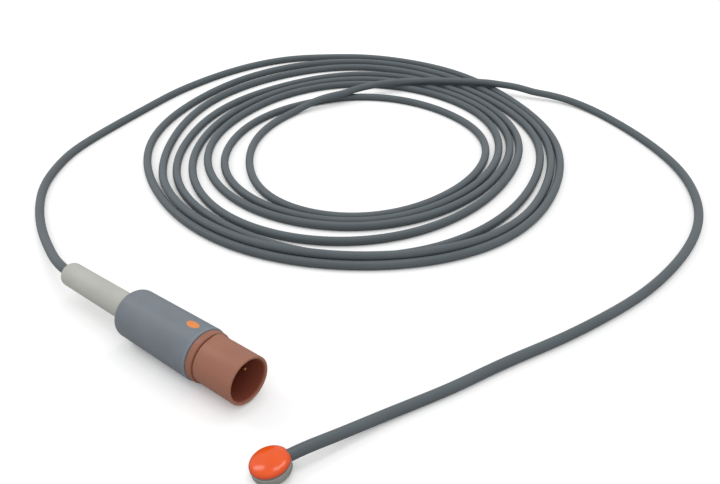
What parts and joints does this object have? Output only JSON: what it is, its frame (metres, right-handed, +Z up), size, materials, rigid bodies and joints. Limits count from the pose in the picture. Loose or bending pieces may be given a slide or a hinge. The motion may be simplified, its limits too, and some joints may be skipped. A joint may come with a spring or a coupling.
{
  "type": "skin temperature probe",
  "caption": "Skin temperature probe: a small domed sensor in a flat metal cup, a long cable wound in a loose coil, and a round plug with recessed contact pins.",
  "frame": {"origin": "on the floor under the middle of the sensor head", "axes": "+Z up from the floor that the cable lies on, +Y from the sensor towards the coil, +X to the right of it"},
  "size_m": [0.2162, 0.2459, 0.0137],
  "materials": {
    "cup_metal": "satin",
    "seal_rubber": "matte",
    "cap_orange": "glossy",
    "bead_coating": "glossy",
    "tinned_wire": "bright",
    "core_white": "matte",
    "cable_grey": "satin",
    "relief_grey": "matte",
    "clamp_steel": "satin",
    "body_grey": "satin",
    "dot_orange": "matte",
    "shroud_brown": "satin",
    "insert_brown": "matte",
    "pin_gold": "gilt"
  },
  "bodies": {
    "root": {"sensor_cup": "cup_metal", "seal_ring": "seal_rubber", "sensor_cap": "cap_orange", "thermistor_bead": "bead_coating", "thermistor_lead_a": "tinned_wire", "thermistor_lead_b": "tinned_wire", "sensor_core_a": "core_white", "sensor_core_b": "core_white", "sensor_lead": "cable_grey", "cable_coil": "cable_grey", "plug_lead": "cable_grey", "strain_relief": "relief_grey", "cable_clamp": "clamp_steel", "plug_body": "body_grey", "alignment_dot": "dot_orange", "plug_shroud": "shroud_brown", "contact_insert": "insert_brown", "contact_pin_a": "pin_gold", "contact_pin_b": "pin_gold", "plug_core_a": "core_white", "plug_core_b": "core_white"}
  },
  "joints": []
}
